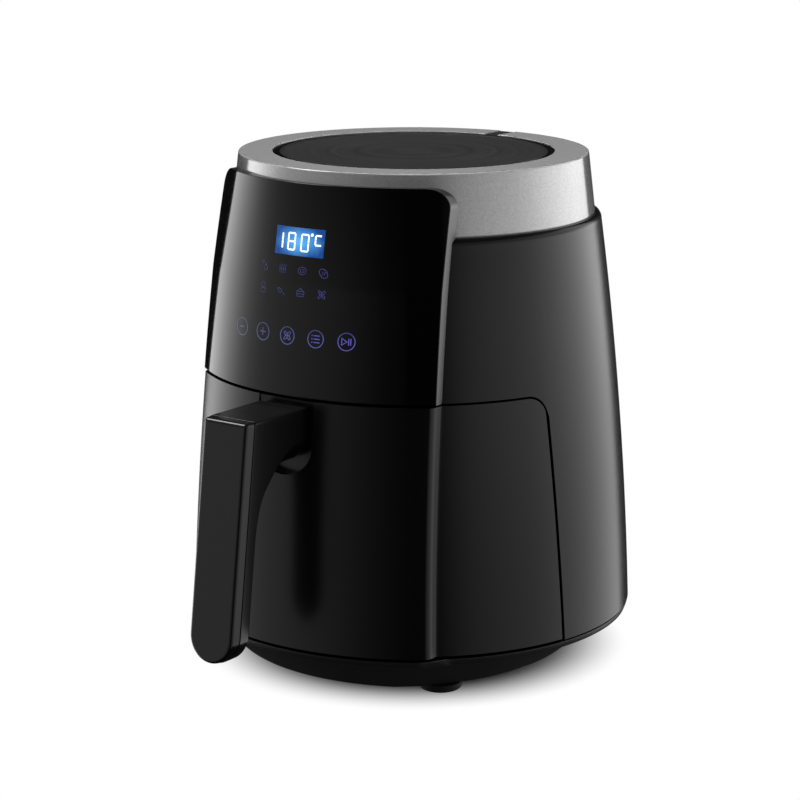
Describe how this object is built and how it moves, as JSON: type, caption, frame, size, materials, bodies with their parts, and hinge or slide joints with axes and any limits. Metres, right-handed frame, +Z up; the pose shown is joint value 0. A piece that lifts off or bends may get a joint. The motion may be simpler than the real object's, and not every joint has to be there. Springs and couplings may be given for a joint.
{
  "type": "air fryer",
  "caption": "Round black countertop air fryer with a pull-out frying drawer, a tall touch panel with a lit display, and a silver ring round the top.",
  "frame": {"origin": "middle of the footprint, handle included, on the surface that the feet stand on", "axes": "+Z up; the front, with the panel and the handle, faces -Y; +X is to the right seen from the front"},
  "size_m": [0.2652, 0.3302, 0.3042],
  "materials": {
    "satin_black": "satin black moulded plastic with a very fine grain",
    "drawer_black": "semi-gloss black moulded plastic",
    "fascia_black": "high-gloss black, printed from behind",
    "handle_black": "satin black moulded plastic",
    "base_black": "matt black moulded plastic",
    "silver_paint": "silver-grey metallic paint on plastic, with fine flake",
    "spun_dark": "dark anodised, spun in fine rings",
    "display": "clear window over a blue backlit display",
    "nonstick": "dark grey non-stick coat with fine speckle",
    "steel": "bright steel",
    "galvanised": "plain aluminised steel sheet",
    "rubber": "matt black rubber",
    "silicone": "matt black silicone",
    "board_green": "green circuit board"
  },
  "bodies": {
    "housing": {"base": "base_black", "outer_shell": "satin_black", "top_ring": "silver_paint", "rear_vent_insert": "base_black", "top_disc": "spun_dark", "top_frame": "base_black", "exhaust_grille": "base_black", "cord_gland": "rubber", "control_panel": "fascia_black", "display_lens": "display", "display_module": "base_black", "control_board": "board_green", "compartment_floor": "base_black", "power_board": "board_green", "chamber_liner": "galvanised", "front_bulkhead": "base_black", "pan_rail_right": "galvanised", "pan_rail_left": "galvanised", "pan_catch": "steel", "heater_shield": "galvanised", "heating_element": "steel", "heater_guard": "steel", "fan_motor": "galvanised", "motor_bracket": "galvanised", "temperature_sensor": "steel", "thermal_fuse": "steel", "microswitch": "base_black", "foot_1": "rubber", "base_screw_1": "steel", "foot_2": "rubber", "base_screw_2": "steel", "foot_3": "rubber", "base_screw_3": "steel", "foot_4": "rubber", "base_screw_4": "steel"},
    "drawer": {"drawer_front": "drawer_black", "drawer_deck": "base_black", "pan": "nonstick", "handle_body": "handle_black", "handle_cover": "handle_black", "handle_screw_1": "steel", "handle_screw_2": "steel"},
    "crisper": {"crisper_plate": "nonstick", "crisper_bumper_1": "silicone", "crisper_bumper_2": "silicone", "crisper_bumper_3": "silicone", "crisper_bumper_4": "silicone"},
    "fans": {"convection_fan": "galvanised", "cooling_fan": "base_black", "motor_shaft": "steel", "fan_nut": "steel"},
    "plunger": {"switch_plunger": "base_black"}
  },
  "joints": [
    {"name": "drawer_slide", "type": "slide", "parent": "housing", "child": "drawer", "axis": [0, -1, 0], "range_m": [0, 0.24]},
    {"name": "crisper_lift", "type": "slide", "parent": "drawer", "child": "crisper", "axis": [0, 0, 1], "range_m": [0, 0.1]},
    {"name": "fan_spin", "type": "hinge", "parent": "housing", "child": "fans", "pos_m": [0, 0.03246, 0.21], "axis": [0, 0, 1], "continuous": true},
    {"name": "switch_push", "type": "slide", "parent": "housing", "child": "plunger", "axis": [0, 1, 0], "range_m": [0, 0.0015], "stiffness_N_per_m": 300}
  ]
}
